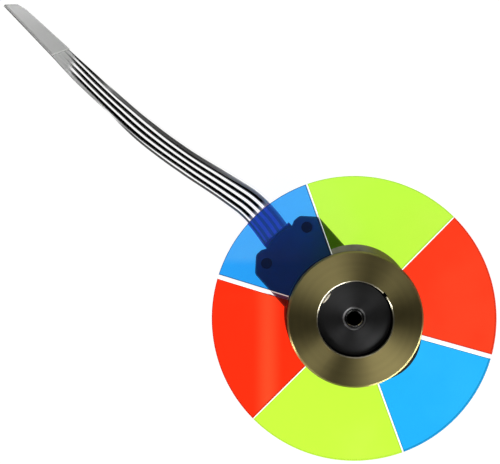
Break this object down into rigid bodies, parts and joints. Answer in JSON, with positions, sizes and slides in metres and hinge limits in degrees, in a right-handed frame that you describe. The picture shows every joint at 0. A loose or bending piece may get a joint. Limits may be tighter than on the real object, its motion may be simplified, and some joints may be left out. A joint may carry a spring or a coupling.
{
  "type": "projector color wheel",
  "caption": "Spinning disc of coloured glass filter segments clamped on the hub of a small outer-rotor motor, with a flat cable tail, for single-chip projectors.",
  "frame": {"origin": "on the spin axis, in the rear face of the motor's base plate, which lies on the surface", "axes": "+Z along the spin axis from the base plate to the filters, +Y along the base plate's tail towards the two screw ears and the cable, +X across the ears"},
  "size_m": [0.04, 0.0874, 0.0102],
  "materials": {
    "turned_brass": "fine turned, dull",
    "black_metal": "black anodised, fine turned",
    "plate_black": "matt black coating",
    "red_glass": "dichroic coated, polished",
    "green_glass": "dichroic coated, polished",
    "blue_glass": "dichroic coated, polished",
    "clear_adhesive": "cured clear film",
    "cream_adhesive": "cured bead, glossy",
    "steel": "ground",
    "bearing_steel": "polished",
    "cage_steel": "stamped",
    "cup_steel": "drawn, dull",
    "magnet": "ground ferrite",
    "core_steel": "stamped stack",
    "insulator": "moulded",
    "copper_wire": "enamelled",
    "solder": "bright",
    "film": "film over dark conductors",
    "stiffener_grey": "plain film",
    "contact_metal": "plated",
    "timing_mark": "printed strip"
  },
  "bodies": {
    "stator": {"base_plate": "plate_black", "end_cap": "black_metal", "stator_core": "core_steel", "lower_insulator": "insulator", "upper_insulator": "insulator", "coils_phase_u": "copper_wire", "coils_phase_v": "copper_wire", "coils_phase_w": "copper_wire", "lead_wires": "copper_wire", "solder_joints": "solder", "flex_circuit": "film", "flex_tail": "film", "contact_stiffener": "stiffener_grey", "contact_pads": "contact_metal", "preload_washer": "steel", "lower_bearing_outer_ring": "bearing_steel", "lower_bearing_shield": "steel", "upper_bearing_outer_ring": "bearing_steel", "upper_bearing_shield": "steel"},
    "rotor": {"shaft": "steel", "shaft_clip": "steel", "lower_bearing_inner_ring": "bearing_steel", "upper_bearing_inner_ring": "bearing_steel", "rotor_cup": "cup_steel", "ring_magnet": "magnet", "index_mark": "timing_mark", "rotor_hub": "black_metal", "rear_bond": "clear_adhesive", "front_bond": "clear_adhesive", "smear_green_a": "clear_adhesive", "smear_blue_b": "clear_adhesive", "filter_green_a": "green_glass", "filter_blue_a": "blue_glass", "filter_red_a": "red_glass", "filter_green_b": "green_glass", "filter_blue_b": "blue_glass", "filter_red_b": "red_glass", "clamp_ring": "turned_brass", "adhesive_bead": "cream_adhesive"},
    "lower_cage": {"lower_bearing_balls": "bearing_steel", "lower_bearing_cage": "cage_steel"},
    "upper_cage": {"upper_bearing_balls": "bearing_steel", "upper_bearing_cage": "cage_steel"}
  },
  "joints": [
    {"name": "wheel_spin", "type": "hinge", "parent": "stator", "child": "rotor", "pos_m": [0, 0, 0.0036], "axis": [0, 0, 1], "continuous": true},
    {"name": "lower_cage_orbit", "type": "hinge", "parent": "stator", "child": "lower_cage", "pos_m": [0, 0, 0.00192], "axis": [0, 0, 1], "continuous": true},
    {"name": "upper_cage_orbit", "type": "hinge", "parent": "stator", "child": "upper_cage", "pos_m": [0, 0, 0.00512], "axis": [0, 0, 1], "continuous": true}
  ],
  "couplings": [
    {"joint": "lower_cage_orbit", "follows": "wheel_spin", "ratio": 0.4067},
    {"joint": "upper_cage_orbit", "follows": "wheel_spin", "ratio": 0.4067}
  ]
}
